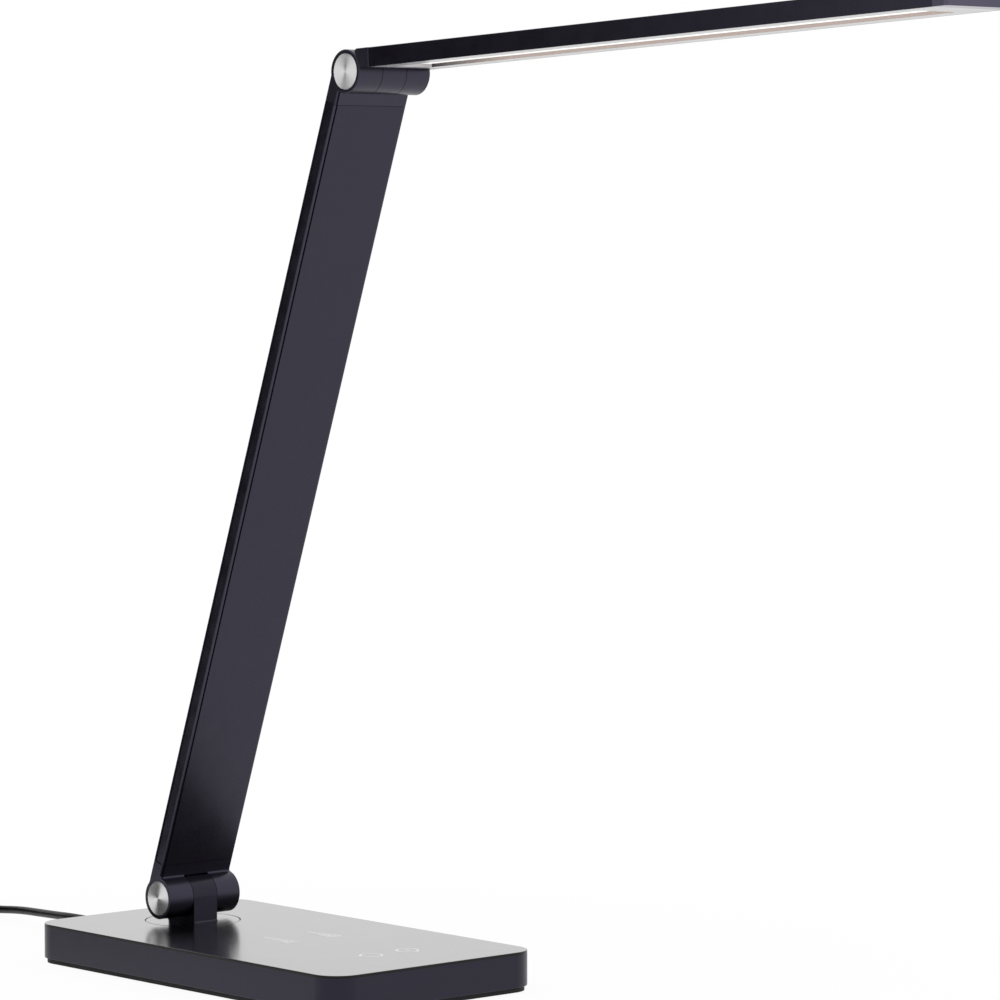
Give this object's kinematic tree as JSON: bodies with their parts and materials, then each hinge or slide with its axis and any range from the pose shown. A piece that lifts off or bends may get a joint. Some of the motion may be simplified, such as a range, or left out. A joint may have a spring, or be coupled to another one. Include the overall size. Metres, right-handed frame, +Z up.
{
  "type": "folding desk lamp",
  "caption": "Folding desk lamp: a flat weighted base with touch keys, a swivelling hinge post, a flat arm and a slim head bar with a long lit window underneath.",
  "frame": {"origin": "middle of the base's underside, on the table", "axes": "+X forwards, the way the head reaches; +Y left, along the hinge pins; +Z up"},
  "size_m": [0.6793, 0.113, 0.41],
  "materials": {
    "base_shell": "satin black",
    "touch_panel": "high gloss black with pale key marks",
    "bottom_cover": "matt black",
    "non_slip_pad": "matt",
    "ballast": "raw",
    "steel": "plain",
    "circuit_board": "solder mask",
    "components": "moulded",
    "electrode": "plain",
    "inlet": "moulded",
    "lead": "soft insulation",
    "washer": "low friction",
    "turntable": "high gloss black",
    "hinge_casting": "satin black",
    "bush": "sintered",
    "arm_metal": "satin black",
    "hinge_cap": "spun",
    "head_metal": "satin black",
    "head_plastic": "black",
    "bezel": "pale satin",
    "diffuser": "milky",
    "reflector": "pale",
    "led_board": "white mask",
    "led": "phosphor",
    "cord": "soft black",
    "plug": "moulded black",
    "tie": "black strap",
    "contact_metal": "nickel plated"
  },
  "bodies": {
    "base": {"base_shell": "base_shell", "touch_panel": "touch_panel", "bottom_cover": "bottom_cover", "non_slip_pad": "non_slip_pad", "ballast_plate": "ballast", "cover_screws": "steel", "control_board": "circuit_board", "board_components": "components", "board_screws": "steel", "touch_electrodes": "electrode", "dc_jack": "inlet", "supply_lead": "lead", "lamp_lead": "lead", "thrust_washer": "washer", "dc_plug_barrel": "contact_metal", "dc_plug_grip": "plug", "power_cord": "cord", "cord_coil": "cord", "cord_tie": "tie", "usb_plug_grip": "plug", "usb_plug_shell": "contact_metal", "usb_plug_tongue": "components"},
    "swivel": {"turntable": "turntable", "hinge_post": "hinge_casting", "post_screws": "steel", "friction_washer": "washer", "retainer_plate": "steel", "retainer_screws": "steel", "lower_hinge_bush": "bush"},
    "arm": {"lower_yoke": "hinge_casting", "upper_yoke": "hinge_casting", "arm_channel": "arm_metal", "arm_cover": "arm_metal", "yoke_screws": "steel", "arm_lead": "lead", "lower_hinge_pin": "steel", "lower_spring_washers": "steel", "lower_hinge_nut": "steel", "lower_cap_right": "hinge_cap", "lower_cap_left": "hinge_cap", "upper_hinge_pin": "steel", "upper_spring_washers": "steel", "upper_hinge_nut": "steel", "upper_cap_right": "hinge_cap", "upper_cap_left": "hinge_cap"},
    "head": {"head_root": "hinge_casting", "head_housing": "head_metal", "head_tip": "head_plastic", "bezel_frame": "bezel", "diffuser": "diffuser", "reflector_frame": "reflector", "led_board": "led_board", "leds": "led", "head_screws": "steel", "head_lead": "lead", "upper_hinge_bush": "bush"}
  },
  "joints": [
    {"name": "swivel_turn", "type": "hinge", "parent": "base", "child": "swivel", "pos_m": [-0.0618, 0, 0.0177], "axis": [0, 0, 1], "range_deg": [-90, 90]},
    {"name": "arm_tilt", "type": "hinge", "parent": "swivel", "child": "arm", "pos_m": [-0.0618, 0, 0.0289], "axis": [0, 1, 0], "range_deg": [-50, 70.2]},
    {"name": "head_tilt", "type": "hinge", "parent": "arm", "child": "head", "pos_m": [0.06692, 0, 0.38643], "axis": [0, 1, 0], "range_deg": [-67.7, 112.3]}
  ]
}
